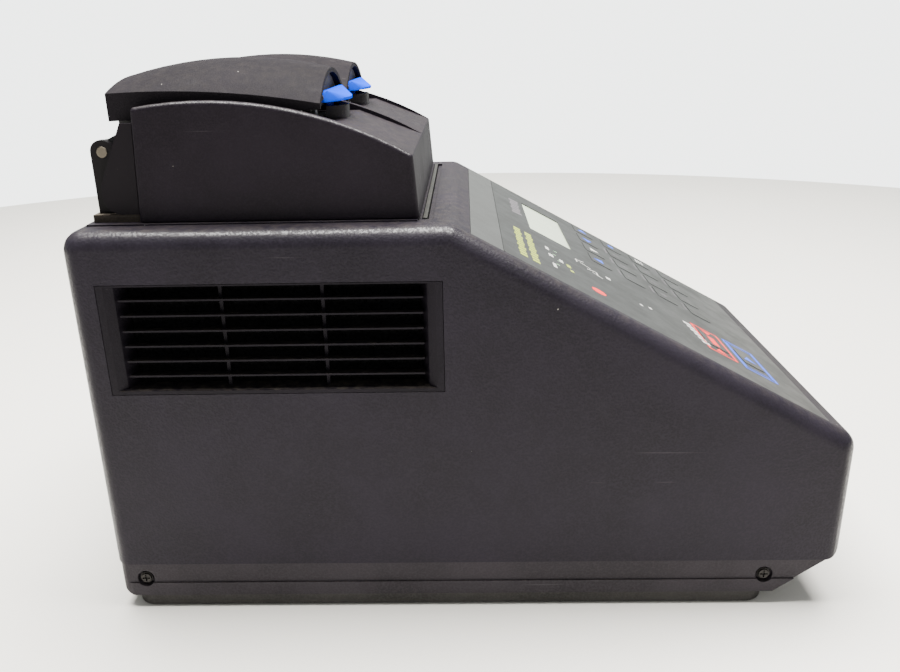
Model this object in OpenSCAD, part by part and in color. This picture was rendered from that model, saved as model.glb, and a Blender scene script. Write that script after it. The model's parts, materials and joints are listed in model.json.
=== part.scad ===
// Dual-block benchtop thermal cycler.
// Frame: millimetres, +Z up, bench at z = 0, front (nose) towards -Y, origin under the middle of the case.

/* [Case] */
// Width of the case across the bench
body_w = 240; // [220:1:300]
// Depth of the case from nose to back
body_d = 410; // [390:1:500]
// Height of the flat top above the bench
top_h = 220.7; // [200:0.1:270]
// Distance from the nose back to the bend in the top
slope_run = 214.8; // [205:0.1:225]
// Angle of the control slope below level
slope_a = 28.9; // [22:0.1:32]
// Wall of the moulded case
wall = 3; // [2:0.1:4]
// Radius of the long side edges and corners
edge_r = 9.5; // [6:0.1:12]
// Height of the seam between case and base
seam_h = 29.3; // [26:0.1:34]
// Height of the underside of the base
base_h = 8.2; // [7:0.1:12]

/* [Side vents] */
// Length of each side vent
vent_l = 175; // [120:1:180]
// Height of each side vent
vent_h = 60; // [40:1:62]
// Number of slats in each side vent
slat_n = 6; // [4:1:9]
// Depth of the vent frame behind the case face
vent_t = 12; // [8:1:14]

/* [Control panel] */
// Length of the printed overlay down the slope
overlay_l = 200; // [190:1:205]
// Length of the plain strip above the overlay
strip_l = 19; // [12:1:24]
// Thickness of the overlay and the strip
overlay_t = 0.6; // [0.4:0.1:0.8]
// Width of the display window
lcd_w = 84; // [60:1:90]
// Height of the display window
lcd_h = 30; // [20:1:34]
// Width of a key
key_w = 22; // [16:0.5:24]
// Height of a key
key_h = 15; // [10:0.5:18]
// Height that a key stands above the overlay
key_proud = 0.25; // [0.1:0.05:0.5]

/* [Sample module] */
// Gap between the module's side and the edge of the case
module_margin = 18; // [14:0.5:24]
// Depth of the module's covers
module_d = 144.3; // [140:0.1:150]
// Height of the module's arched walls above the case top
module_rise = 60.3; // [58:0.1:64]
// Wall of the module covers
cover_t = 3; // [2:0.1:4]
// Thickness of the walls beside the lids
cheek_t = 4; // [3:0.1:5]
// Sample wells across one block
well_nx = 6; // [3:1:6]
// Sample wells along one block
well_ny = 8; // [4:1:8]
// Distance between sample wells
well_pitch = 9; // [8:0.5:9]

/* [Lids] */
// Depth of a lid from its front arch to its back
lid_d = 106; // [100:1:110]
// Gap between a lid and the wall beside it
lid_gap = 4; // [2:0.1:6]
// Thickness of the lid shell
lid_t = 2.5; // [1.5:0.1:3]
// Radius of the hinge pins
pin_r = 2.8; // [2:0.1:3.5]
// Width of a latch
latch_w = 64; // [40:1:66]

/* [Cooling] */
// Side of the square fan frame
fan_w = 120; // [92:1:120]
// Depth of the fan frame
fan_t = 38; // [25:1:38]
// Number of heat sink fins
fin_n = 22; // [12:1:26]

/* [Hidden] */
$fn = 48;
eps = 0.01;
fit_gap = 0.3;          // clearance between pieces that sit beside each other
run_gap = 0.05;         // radial clearance of a pin that turns in its hole

yb = body_d / 2;        // back of the case
yf = -body_d / 2;       // nose
hw = body_w / 2;
bend_y = yf + slope_run;
inner_hw = hw - wall;

// base
base_inset = 1.5;
lip_inset = 0.6;
ridge_h = base_h + 8.2;
base_wall = 3.5;
floor_t = 3;
floor_h = base_h + floor_t;
nose_back = 7;          // the base starts this far behind the nose
nose_run = 29.5;        // length of its slanted front
screw_back_y = yb - 16.4;
screw_front_y = yf + 41.9;
screw_z = base_h + 10.9;
screw_r = 1.5;
screw_head_r = 3.5;
recess_r = 4.9;
pan_h = 0.6;
pan_inset = 2;
pan_front = nose_back + nose_run + 2.5;
pan_back = 7.5;
foot_r = 9;
foot_sink = 1;

// vents
vent_y = yb - 15.5 - vent_l / 2;
vent_z = top_h - 26.7 - vent_h / 2;
slat_pitch = 49.5 / slat_n;
slat_l = vent_l - 20.5;
slat_t = 0.9;
rib_t = 1.8;

// panel: s is the distance down the slope from the bend, n the height above it
panel_w = body_w - 20;
strip_s = 10.9;
overlay_s = strip_s + strip_l + 0.2;
lcd_s = overlay_s + 39;
lcd_x = panel_w / 2 - 73;
keys_s = overlay_s + 77;
key_px = 29;
key_ps = 25;
keys_x = panel_w / 2 - 15 - 3 * key_px;
side_key_x = -panel_w / 2 + 50;
side_key_s = keys_s + 65;
key_flange = 1;
key_t = 0.8;
key_gap = 0.25;
board_n = -2.3;
led_r = 1.5;
led_flange = 0.5;       // rim that holds a lamp against the inside of the slope

// module
deck_t = 0.8;
deck_z = top_h + deck_t;
mod_hw = hw - module_margin;
mod_back = yb - 35.5;
mod_front = mod_back - module_d;
cover_z = top_h + 1.5;
arch_r = 207;
arch_y = mod_back - 37.5;
arch_top = top_h + module_rise;
cover_edge = 2.5;
divider_t = 6;
seam = 0.3;
deck_floor = top_h + 47.2;
frame_t = 4;
frame_z = deck_z + frame_t;
bar_w = 2.2;            // front to back across the lock bar
groove_h = 1.3;         // depth of the finger groove in front of it

// lids
lid_x = (mod_hw - cheek_t + divider_t / 2) / 2 - 1.5;
lid_hw = (mod_hw - cheek_t - divider_t / 2 - lid_gap) / 2 - 0.5;
lid_front = mod_back - 95.5;
lid_back = lid_front + lid_d;
ridge_r = 205;
ridge_y = lid_back - 56.5;
ridge_z = top_h + 79.3;
crease_r = 460;
crease_y = lid_back - 25;
crease_z = top_h + 64.7;
skirt_back = top_h + 50.7;
skirt_front = top_h + 54.6;
pin_y = lid_back + 5.4;
pin_z = top_h + 35.9;
ear_r = 6;
bracket_t = 3.5;
arm_t = 5;

// sample blocks
block_w = well_nx * well_pitch + 6;
block_d = well_ny * well_pitch + 6;
block_y = lid_front + 44;
block_h = 24;
block_top = top_h + 37.3;
well_r = 3;
well_depth = 18;
tile_t = 3.8;
tile_w = 40;
sink_top = block_top - block_h - tile_t;
platen_z = block_top + 4.5;
platen_t = 6;
platen_travel = 3.5;
post_r = 2;

// latch
latch_py = lid_front + 1.6;
latch_pz = top_h + 59.5;
latch_reach = 10.2;
latch_bow = (latch_w * latch_w / 4 + latch_reach * latch_reach) / (2 * latch_reach);
latch_nose = lid_front - 10.2;
latch_lip = 1.3;
trunnion_r = 1;
lug_t = 2;
boss_r = 19;
boss_nose = lid_front - 8.5;
boss_h = 6.9;

// cooling
sink_base_z = deck_z - 8;
sink_w = 2 * mod_hw - 28;
sink_d = 118;
sink_y = mod_back - 72.5;
fin_z = top_h - 68.7;
fin_t = 1.5;
fan_z = fin_z - 9 - fan_t;
shelf_t = 2;
shelf_z = fan_z - shelf_t;
shelf_hw = hw - 20;
shelf_hd = 75;
shelf_foot = 11;
hub_r = 22;
blade_n = 7;

// power supply
supply_x = hw - 82;
supply_y = yb - 175;
supply_w = 58;
supply_d = 145;
supply_h = 46;
slot_n = 9;
slot_pitch = 14;

// back panel
back_hw = hw - 25;
back_z0 = seam_h + 15;
back_z1 = top_h - 60;
hole_w = 6;             // small rectangular holes over the fan's air
hole_h = 8;
hole_px = 9;
hole_pz = 11;
entry_x = back_hw - 35;
entry_z = back_z0 + 32;

function arc_z(y, cy, cz, r) = cz + sqrt(r * r - (y - cy) * (y - cy));
function ridge_at(y) = arc_z(y, ridge_y, ridge_z - ridge_r, ridge_r);
function crease_at(y) = arc_z(y, crease_y, crease_z - crease_r, crease_r);
function cover_back(z) = mod_back + 0.2 - 3.7 * (z - cover_z + 12) / (arch_top - cover_z + 9);
function latch_sag(x) = latch_bow - sqrt(latch_bow * latch_bow - x * x);
function skirt_at(y) = skirt_back + (skirt_front - skirt_back) * (lid_back - y) / lid_d;

// ---- helpers ----

module block(lo, hi) translate(lo) cube(hi - lo);

// a 2D shape drawn in (y, z), from x to x + t
module across(x, t) translate([x, 0, 0]) rotate([90, 0, 90]) linear_extrude(t) children();

// the control slope's own frame: +X right, +Y up the slope, +Z out of it, origin at the bend
module on_slope() translate([0, bend_y, top_h]) rotate([slope_a, 0, 0]) children();

module rounded_rect(w, d, r) {
  square([w - 2 * r, d], center = true);
  square([w, d - 2 * r], center = true);
  for (sx = [-1, 1], sy = [-1, 1]) translate([sx * (w / 2 - r), sy * (d / 2 - r)]) circle(r);
}

module plate(x, s, w, h, r, n0, n1) on_slope() translate([x, -s, n0]) linear_extrude(n1 - n0)
  rounded_rect(w, h, r);

module mirrored() {
  children();
  mirror([1, 0, 0]) children();
}

// ---- case ----

module case_outline() {
  nose_z = top_h - slope_run * tan(slope_a);
  polygon([[yf, seam_h - 20], [yb, seam_h - 20], [yb, top_h], [bend_y, top_h], [yf, nose_z]]);
}

// the closed outer form, with every long edge rounded, moved in by inset
module case_form(inset) {
  hull() for (a = [0 : 15 : 90]) {
    sink = edge_r * (1 - cos(a));
    half = hw - inset - edge_r * (1 - sin(a));
    r = edge_r - sink + 1;
    across(-half, 2 * half) offset(r = r, $fn = 32) offset(delta = -inset - sink - r) case_outline();
  }
}

module vent_hole(side, grow) {
  x0 = side > 0 ? hw - vent_t : -hw - 1;
  block([x0, vent_y - vent_l / 2 - grow, vent_z - vent_h / 2 - grow],
    [x0 + vent_t + 1, vent_y + vent_l / 2 + grow, vent_z + vent_h / 2 + grow]);
}

module screw_posts() {
  for (y = [screw_back_y, screw_front_y]) mirrored() difference() {
    union() {
      block([hw - 13, y - 6, floor_h + 4.5], [hw - base_inset - base_wall - fit_gap, y + 6, seam_h + 16]);
      block([hw - 13, y - 6, seam_h + 4], [inner_hw + 0.5, y + 6, seam_h + 16]);
    }
    translate([hw - 14, y, screw_z]) rotate([0, 90, 0]) cylinder(r = screw_r + run_gap, h = 14);
  }
}

module case_shell() color("#2d2a32") {
  difference() {
    case_form(0);
    case_hollow();
    block([-hw - 1, yf - 1, -30], [hw + 1, yb + 1, seam_h]);
    nose_underside();
    for (side = [-1, 1]) vent_hole(side, 0);
    module_well();
    panel_cuts();
    back_opening();
  }
  difference() {
    block([-mod_hw - 2, mod_front + 1.8, top_h - eps], [mod_hw + 2, yb - 9.5, deck_z]);
    module_well();
  }
  screw_posts();
}

module case_hollow() difference() {
  case_form(wall);
  block([-hw, yf - 1, 0], [hw, yf + nose_back + 6, seam_h + wall + 2.5]);
}

module nose_underside() difference() {
  block([-hw - 1, yf - 1, seam_h - 1], [hw + 1, yf + edge_r, seam_h + edge_r]);
  translate([-hw - 2, yf + edge_r, seam_h + edge_r]) rotate([0, 90, 0]) cylinder(r = edge_r, h = body_w + 4);
}

module module_well() {
  block([-mod_hw + 10, mod_front + 8, top_h - 20], [mod_hw - 10, mod_back - 8, deck_z + 1]);
  block([-mod_hw + 3.5, mod_front - bar_w - 1.1, top_h - 20], [mod_hw - 3.5, mod_front - 0.2, deck_z + 1]);
  block([-mod_hw + 3.5, mod_front - 5.9, top_h - groove_h], [mod_hw - 3.5, mod_front - bar_w, deck_z + 1]);
}

module panel_cuts() {
  slope_end = overlay_s + overlay_l;
  plate(0, (strip_s + slope_end) / 2, panel_w + 0.4, slope_end - strip_s + 0.4, 2, -overlay_t, 1);
  plate(lcd_x, lcd_s, lcd_w + 2, lcd_h + 2, 1, -wall - 1, 0);
  plate(keys_x + 1.5 * key_px, keys_s + 1.5 * key_ps, 3 * key_px + key_w + 4,
    3 * key_ps + key_h + 4, 2, -wall - 1, 0);
  plate(side_key_x, side_key_s + key_ps / 2, key_w + 4, key_ps + key_h + 4, 2, -wall - 1, 0);
  for (p = led_places()) on_slope() translate([p[0], -p[1], -wall - 1]) cylinder(r = led_r + 0.2, h = wall + 1);
}

module back_opening() {
  block([-back_hw, yb - wall - 1, back_z0], [back_hw, yb + 1, back_z1]);
}

// ---- base, pan, feet and screws ----

// rounded at the back only: its front corners lie ahead of the slanted front
module base_plan() translate([0, -edge_r, 0]) linear_extrude(60)
  rounded_rect(body_w - 2 * lip_inset, body_d + 2 * (edge_r - lip_inset), edge_r);

module base_housing() color("#29272e") {
  slant_y = yf + nose_back + nose_run * (seam_h - ridge_h) / (seam_h - base_h);
  y0 = yf + nose_back;
  difference() {
    intersection() {
      base_plan();
      union() {
        across(-hw + base_inset, body_w - 2 * base_inset)
          polygon([[y0, seam_h], [slant_y, ridge_h], [yb - base_inset, ridge_h], [yb - base_inset, seam_h]]);
        across(-hw + lip_inset, body_w - 2 * lip_inset)
          polygon([[slant_y, ridge_h], [y0 + nose_run, base_h], [yb - 8, base_h], [yb - 2.5, base_h + 2],
            [yb - lip_inset, base_h + 6], [yb - lip_inset, ridge_h]]);
      }
    }
    across(-hw + base_inset + base_wall, body_w - 2 * (base_inset + base_wall))
      polygon([[y0 + 5, seam_h + 1], [y0 + nose_run + 3, floor_h], [yb - base_inset - base_wall, floor_h],
        [yb - base_inset - base_wall, seam_h + 1]]);
    for (y = [screw_back_y, screw_front_y]) mirrored() {
      translate([hw - 4.2, y, screw_z]) rotate([0, 90, 0]) cylinder(r = recess_r, h = 5);
      translate([hw - 8, y, screw_z]) rotate([0, 90, 0]) cylinder(r = screw_r + 0.2, h = 8);
    }
    for (i = [0 : 9]) block([-60, yb - 70 - i * 10, base_h - 1], [60, yb - 66 - i * 10, floor_h + 1]);
  }
  difference() {
    block([-inner_hw + fit_gap, yf + 33, seam_h - 1], [inner_hw - fit_gap, yb - wall - fit_gap, seam_h + 3]);
    block([-hw + base_inset + base_wall, yf + 35, seam_h - 2],
      [hw - base_inset - base_wall, yb - base_inset - base_wall, seam_h + 4]);
    for (sx = [-1, 1]) translate([sx * inner_hw, yb - wall, seam_h]) rotate([0, 0, 45])
      cube([9, 9, 10], center = true);
  }
}

module pan_plan(inset) translate([0, (pan_front - pan_back) / 2, 0])
  rounded_rect(body_w - 2 * (pan_inset + inset), body_d - pan_front - pan_back - 2 * inset, 12);

module foot_places() for (sx = [-1, 1], sy = [-1, 1])
  translate([sx * (hw - 24), 15.5 + sy * (body_d / 2 - 52.5), 0]) children();

module bottom_pan() color("#232126") difference() {
  translate([0, 0, pan_h]) linear_extrude(base_h - pan_h) pan_plan(0);
  translate([0, 0, pan_h + 3]) linear_extrude(base_h) pan_plan(3);
  foot_places() cylinder(r = foot_r + fit_gap, h = pan_h + foot_sink);
  for (i = [0 : 9]) block([-60, yb - 70 - i * 10, 0], [60, yb - 66 - i * 10, pan_h + 4]);
}

module rubber_feet() color("#151515") foot_places() cylinder(r = foot_r, h = pan_h + foot_sink);

module case_screws() color("#4a4a4c") for (y = [screw_back_y, screw_front_y]) mirrored()
  translate([0, y, screw_z]) rotate([0, 90, 0]) {
    translate([0, 0, hw - 12]) cylinder(r = screw_r, h = 9);
    difference() {
      translate([0, 0, hw - 4.2]) cylinder(r = screw_head_r, h = 1.8);
      for (a = [0, 90]) rotate([0, 0, a]) translate([-2.2, -0.4, hw - 3.2]) cube([4.4, 0.8, 2]);
    }
  }

// ---- side vents ----

// frame with flared ends, thin slats that fall inwards and two ribs behind them; drawn for the left side
module vent_grille() {
  x0 = -hw + 0.1;
  y0 = vent_y - vent_l / 2 + fit_gap;
  y1 = vent_y + vent_l / 2 - fit_gap;
  z0 = vent_z - vent_h / 2 + fit_gap;
  z1 = vent_z + vent_h / 2 - fit_gap;
  difference() {
    block([x0, y0, z0], [x0 + vent_t - 1, y1, z1]);
    flare([x0 - 1, 2.2, 1.8, 0.7], [x0 + 3, 8, 2.2, 1.2], y0, y1, z0, z1);
    flare([x0 + 2.9, 7.8, 2.2, 1.2], [x0 + vent_t, 12, 2.8, 1.8], y0, y1, z0, z1);
  }
  for (i = [0 : slat_n - 1]) slat(x0 + 1.6, vent_z + 23.3 - slat_pitch * (i + 0.2));
  for (k = [-1, 1]) block([x0 + 6, vent_y + k * 26 - rib_t / 2, z0], [x0 + 8.5, vent_y + k * 26 + rib_t / 2, z1]);
}

// a passage that narrows from one [x, end inset, bottom inset, top inset] to another
module flare(a, b, y0, y1, z0, z1) hull() for (p = [a, b])
  block([p[0], y0 + p[1], z0 + p[2]], [p[0] + 0.1, y1 - p[1], z1 - p[3]]);

module slat(x, z) translate([0, vent_y, 0]) rotate([90, 0, 0]) linear_extrude(slat_l, center = true)
  polygon([[x, z], [x, z - slat_t], [x + 8.8, z - slat_t - 1.9], [x + 8.8, z - 1.3]]);

module left_vent_grille() color("#2b2930") vent_grille();
module right_vent_grille() color("#2b2930") mirror([1, 0, 0]) vent_grille();

// ---- control panel ----

function led_places() = [for (i = [0 : 3]) [-panel_w / 2 + 38 + 11 * i, overlay_s + 36 + 2 * (i % 2)]];

module key_windows() {
  for (i = [0 : 3], j = [0 : 3]) plate(keys_x + i * key_px, keys_s + j * key_ps,
    key_w + 2 * key_gap, key_h + 2 * key_gap, 2, -2, 1);
  for (j = [0, 1]) plate(side_key_x, side_key_s + j * key_ps,
    key_w + 2 * key_gap, key_h + 2 * key_gap, 2, -2, 1);
}

module control_overlay() color("#3b3d3b") difference() {
  plate(0, overlay_s + overlay_l / 2, panel_w, overlay_l, 2, -overlay_t, 0);
  plate(lcd_x, lcd_s, lcd_w, lcd_h, 0.8, -2, 1);
  key_windows();
  for (p = led_places()) on_slope() translate([p[0], -p[1], -2]) cylinder(r = led_r + 0.1, h = 4);
}

module panel_strip() color("#4a4c4a")
  plate(0, strip_s + strip_l / 2, panel_w, strip_l - 0.2, 0.5, -overlay_t, 0);

module lcd_window() color("#c4d6bd")
  plate(lcd_x, lcd_s, lcd_w + 1.4, lcd_h + 1.4, 0.8, -overlay_t - 1.6, -overlay_t);

module lcd_module() color("#3c5a44") {
  plate(lcd_x, lcd_s, lcd_w + 12, lcd_h + 14, 1, -wall - 9.5, -wall - 8);
  plate(lcd_x, lcd_s, lcd_w + 4, lcd_h + 5, 1, -wall - 8 - eps, -wall);
}

module key_board() color("#2f6a3a") {
  n1 = board_n;
  n0 = board_n - 1.6;
  plate(keys_x + 1.5 * key_px, keys_s + 1.5 * key_ps, 3 * key_px + key_w + 3, 3 * key_ps + key_h + 3, 1, n0, n1);
  plate(side_key_x, side_key_s + key_ps / 2, key_w + 3, key_ps + key_h + 3, 1, n0, n1);
  plate((side_key_x + keys_x) / 2 + key_px, side_key_s + key_ps / 2, keys_x - side_key_x + 2 * key_px, 20,
    1, n0 - 1.6, n0 + eps);
}

module status_leds() color("#7cc46a") for (p = led_places()) on_slope() translate([p[0], -p[1], -wall - 1]) {
  cylinder(r = led_r, h = wall + 0.9);
  cylinder(r = led_r + led_flange, h = 0.6);
}

// key at column x and distance s down the slope, with a flange that holds it under the overlay
module key(x, s) color("#454745") {
  plate(x, s, key_w, key_h, 2, -overlay_t - 0.4, key_proud);
  plate(x, s, key_w + 2 * key_flange, key_h + 2 * key_flange, 2, -overlay_t - key_t, -overlay_t - 0.2);
}

module grid_key(i, j) key(keys_x + i * key_px, keys_s + j * key_ps);

module key_up() grid_key(0, 0);
module key_down() grid_key(1, 0);
module key_left() grid_key(2, 0);
module key_right() grid_key(3, 0);
module key_7() grid_key(0, 1);
module key_8() grid_key(1, 1);
module key_9() grid_key(2, 1);
module key_exit() grid_key(3, 1);
module key_4() grid_key(0, 2);
module key_5() grid_key(1, 2);
module key_6() grid_key(2, 2);
module key_menu() grid_key(3, 2);
module key_1() grid_key(0, 3);
module key_2() grid_key(1, 3);
module key_3() grid_key(2, 3);
module key_0() grid_key(3, 3);
module key_start() key(side_key_x, side_key_s + key_ps);
module key_stop() key(side_key_x, side_key_s);

// ---- electronics and back panel ----

module main_board() color("#2f6a3a") {
  z = floor_h + 12;
  y0 = yf + 50;
  block([-90, y0, z], [90, y0 + 125, z + 1.6]);
  for (sx = [-1, 1], sy = [0, 1]) translate([sx * 82, y0 + 8 + sy * 109, floor_h]) cylinder(r = 3.5, h = 12.1);
  for (i = [0 : 3]) block([-75 + i * 38, y0 + 25, z + 1.5], [-51 + i * 38, y0 + 45, z + 5]);
  for (i = [0 : 4]) translate([-60 + i * 30, y0 + 85, z + 1.5]) cylinder(r = 6, h = 16);
  block([-40, y0 + 104, z + 1.5], [40, y0 + 112, z + 11]);
}

module power_supply() color("#8d9092") difference() {
  block([supply_x, supply_y, floor_h], [supply_x + supply_w, supply_y + supply_d, floor_h + supply_h]);
  for (i = [0 : slot_n - 1]) block([supply_x + 6, supply_y + 10 + i * slot_pitch, floor_h + supply_h - 6],
    [supply_x + supply_w - 6, supply_y + 16 + i * slot_pitch, floor_h + supply_h + 1]);
}

module rear_panel() color("#34333a") difference() {
  block([-back_hw - 5, yb - wall - 2.2, back_z0 - 5], [back_hw + 5, yb - wall - 0.2, back_z1 + 5]);
  block([entry_x - 14.5, yb - wall - 3, entry_z - 24.5], [entry_x + 14.5, yb, entry_z + 24.5]);
  block([-back_hw + 22, yb - wall - 3, entry_z - 7], [-back_hw + 44, yb, entry_z + 7]);
  for (i = [0 : 11], j = [0 : 3]) translate([-50 + i * hole_px, yb - wall - 3, back_z1 - 50 + j * hole_pz])
    cube([hole_w, wall + 3, hole_h]);
}

// inlet below, rocker frame above, behind one flange
module power_entry() color("#1d1d1f") {
  y1 = yb - 0.6;
  y2 = yb - wall - 0.2;
  x = entry_x;
  difference() {
    union() {
      block([x - 25, y2, entry_z - 27], [x + 25, y1, entry_z + 27]);
      block([x - 14, y2 - 26, entry_z - 24], [x + 14, y2 + 0.1, entry_z + 24]);
    }
    block([x - 12, y1 - 18, entry_z - 20], [x + 12, y1 + 1, entry_z - 4]);
    block([x - 11, y1 - 12, entry_z + 4], [x + 11, y1 + 1, entry_z + 20]);
  }
  for (p = [[-7, -12], [7, -12], [0, -9]]) translate([x + p[0] - 1, y1 - 19, entry_z + p[1] - 2])
    cube([2, 13, 4]);
  for (sx = [-1, 1]) translate([x + sx * 10.6, y1 - 5, entry_z + 12]) rotate([0, 90, 0])
    cylinder(r = 1.2, h = 2.1, center = true);
}

// rocker with a hollow dish on its face and a hole at each end for the stub it turns on
module power_rocker() color("#101011") {
  y1 = yb - 0.6;
  x = entry_x;
  difference() {
    across(x - 10.3, 20.6) polygon([[y1 - 9, entry_z + 9], [y1 - 9, entry_z + 15], [y1 - 2.6, entry_z + 19.2],
      [y1 - 1.2, entry_z + 18.7], [y1 - 2.4, entry_z + 12], [y1 + 0.2, entry_z + 5.6], [y1 - 2.4, entry_z + 4.8]]);
    for (sx = [-1, 1]) translate([x + sx * 10, y1 - 5, entry_z + 12]) rotate([0, 90, 0])
      cylinder(r = 1.25, h = 1.8, center = true);
  }
}

module serial_port() color("#b4b6b8") {
  x = -back_hw + 33;
  y2 = yb - wall - 0.2;
  difference() {
    union() {
      block([x - 15.5, y2, entry_z - 6.2], [x + 15.5, y2 + 0.8, entry_z + 6.2]);
      block([x - 10, y2 - 10, entry_z - 5.5], [x + 10, y2 + 2.6, entry_z + 5.5]);
    }
    for (i = [0 : 4]) translate([x - 5.5 + 2.75 * i, y2, entry_z + 1.4]) rotate([-90, 0, 0]) cylinder(r = 0.6, h = 5);
    for (i = [0 : 3]) translate([x - 4.1 + 2.75 * i, y2, entry_z - 1.4]) rotate([-90, 0, 0]) cylinder(r = 0.6, h = 5);
  }
}

// ---- cooling ----

module fan_shelf() color("#9a9c9e") {
  difference() {
    block([-shelf_hw, sink_y - shelf_hd, shelf_z], [shelf_hw, sink_y + shelf_hd, fan_z]);
    translate([0, sink_y, shelf_z - 1]) cylinder(r = fan_w / 2 - 4, h = shelf_t + 2);
  }
  mirrored() {
    block([-shelf_hw, sink_y - shelf_hd, floor_h], [-shelf_hw + shelf_t, sink_y + shelf_hd, fan_z]);
    block([-shelf_hw - shelf_foot, sink_y - shelf_hd, floor_h],
      [-shelf_hw + eps, sink_y + shelf_hd, floor_h + shelf_t]);
  }
}

module fan_frame() color("#1a1a1c") translate([0, sink_y, fan_z]) {
  difference() {
    linear_extrude(fan_t) rounded_rect(fan_w, fan_w, 6);
    translate([0, 0, -1]) cylinder(r = fan_w / 2 - 2, h = fan_t + 2);
    for (sx = [-1, 1], sy = [-1, 1]) translate([sx * (fan_w / 2 - 7.5), sy * (fan_w / 2 - 7.5), -1])
      cylinder(r = 2.2, h = fan_t + 2);
    for (sy = [-1, 1], sx = [0, 1]) translate([sx ? -fan_w : -fan_w / 2 + 13, sy * fan_w / 2, fan_t / 2])
      cube([fan_w - 26, 3, fan_t - 8], center = sx == 1);
  }
  cylinder(r = hub_r + 1, h = 3);
  cylinder(r = 3, h = fan_t - 14);
  for (a = [0 : 90 : 270]) rotate([0, 0, a + 45]) translate([hub_r, -2, 0]) cube([fan_w / 2 - 1 - hub_r, 4, 3]);
}

module fan_rotor() color("#26262a") translate([0, sink_y, fan_z + 3.5]) {
  difference() {
    cylinder(r = hub_r, h = fan_t - 8);
    translate([0, 0, -1]) cylinder(r = 3 + run_gap, h = fan_t - 15);
  }
  for (a = [0 : blade_n - 1]) rotate([0, 0, a * 360 / blade_n]) intersection() {
    translate([hub_r - 3, 0, (fan_t - 8) / 2]) rotate([38, 0, 0]) translate([0, -22, -0.8]) cube([60, 44, 1.6]);
    translate([0, 0, 1]) cylinder(r = fan_w / 2 - 4, h = fan_t - 10);
  }
}

module heat_sink() color("#a9acae") {
  block([-sink_w / 2, sink_y - sink_d / 2, sink_base_z], [sink_w / 2, sink_y + sink_d / 2, deck_z]);
  for (sx = [-1, 1]) block([sx * lid_x - block_w / 2, block_y - block_d / 2, deck_z - eps],
    [sx * lid_x + block_w / 2, block_y + block_d / 2, sink_top]);
  pitch = (sink_d - fin_t) / (fin_n - 1);
  for (i = [0 : fin_n - 1]) block([-sink_w / 2, sink_y - sink_d / 2 + i * pitch, fin_z],
    [sink_w / 2, sink_y - sink_d / 2 + i * pitch + fin_t, sink_base_z + eps]);
}

// ---- sample module ----

module module_frame() color("#3a3b3d") difference() {
  block([-mod_hw + cover_t + fit_gap, mod_front + cover_t + fit_gap, deck_z],
    [mod_hw - cover_t - fit_gap, yb - 11.5, frame_z]);
  for (sx = [-1, 1]) block([sx * lid_x - block_w / 2 - 2, block_y - block_d / 2 - 2, deck_z - 1],
    [sx * lid_x + block_w / 2 + 2, block_y + block_d / 2 + 2, frame_z + 1]);
}

module peltier_tiles() color("#e6e4dc") for (sx = [-1, 1], sy = [-0.5, 0.5])
  block([sx * lid_x - block_w / 2 + 2, block_y + sy * (tile_w - 2) - tile_w / 2 + 1.5, sink_top],
    [sx * lid_x + block_w / 2 - 2, block_y + sy * (tile_w - 2) + tile_w / 2 - 1.5, sink_top + tile_t]);

module sample_block(sx) difference() {
  block([sx * lid_x - block_w / 2, block_y - block_d / 2, block_top - block_h],
    [sx * lid_x + block_w / 2, block_y + block_d / 2, block_top]);
  for (i = [0 : well_nx - 1], j = [0 : well_ny - 1])
    translate([sx * lid_x + (i - (well_nx - 1) / 2) * well_pitch, block_y + (j - (well_ny - 1) / 2) * well_pitch,
      block_top - well_depth]) cylinder(r1 = well_r / 2, r2 = well_r, h = well_depth + eps, $fn = 24);
}

module left_sample_block() color("#c9cbcd") sample_block(-1);
module right_sample_block() color("#c9cbcd") sample_block(1);

module cover_outline() {
  zc = arch_top - arch_r;
  polygon(concat([[mod_front - 0.2, cover_z - 12], [mod_back + 0.2, cover_z - 12], [mod_back - 3.5, arch_top - 3]],
    [for (i = [0 : 14]) let (y = mod_back - 3.8 - (module_d - 7) * i / 14) [y, arc_z(y, arch_y, zc, arch_r)]]));
}

// one half of the arched module cover, drawn for the left side
module module_cover() {
  difference() {
    cover_form(0);
    block([-mod_hw - 1, mod_front - 5, cover_z - 20], [1, mod_back + 5, cover_z]);
    intersection() {
      cover_form(cover_t);
      block([-mod_hw, mod_front, cover_z - 10], [-divider_t / 2, mod_back, deck_floor - cover_t]);
    }
    channel();
    block([-lid_x - block_w / 2 - 3, block_y - block_d / 2 - 3, deck_floor - 20],
      [-lid_x + block_w / 2 + 3, block_y + block_d / 2 + 3, deck_floor + 20]);
    block([-mod_hw + cover_t, mod_front + cover_t, cover_z - 1], [1, mod_back + 1, frame_z + fit_gap]);
  }
  striker_boss();
}

module cover_form(inset) hull() for (a = [0 : 22.5 : 90]) {
  x = -mod_hw + inset + cover_edge * (1 - sin(a));
  across(x, -seam / 2 - x)
    offset(r = 2, $fn = 24) offset(delta = -2 - inset - cover_edge * (1 - cos(a))) cover_outline();
}

// the open channel between cheek and divider: a ramp up from the front, then the level deck
module channel() across(-mod_hw + cheek_t, mod_hw - cheek_t - divider_t / 2)
  polygon([[mod_front + 3.5, deck_floor - 14.6], [lid_front - 8.4, deck_floor], [mod_back + 1, deck_floor],
    [mod_back + 1, arch_top + 5], [mod_front + 3.5, arch_top + 5]]);

module striker_boss() difference() {
  intersection() {
    translate([-lid_x, boss_nose + boss_r, deck_floor - 1]) cylinder(r = boss_r, h = boss_h + 1);
    block([-mod_hw, boss_nose - 1, deck_floor - 2], [0, lid_front + 1.5, arch_top]);
  }
  block([-lid_x - 10, lid_front - 3.5, deck_floor], [-lid_x + 10, lid_front + 3, arch_top]);
}

module left_module_cover() color("#2f2d34") module_cover();
module right_module_cover() color("#2f2d34") mirror([1, 0, 0]) module_cover();

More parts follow.
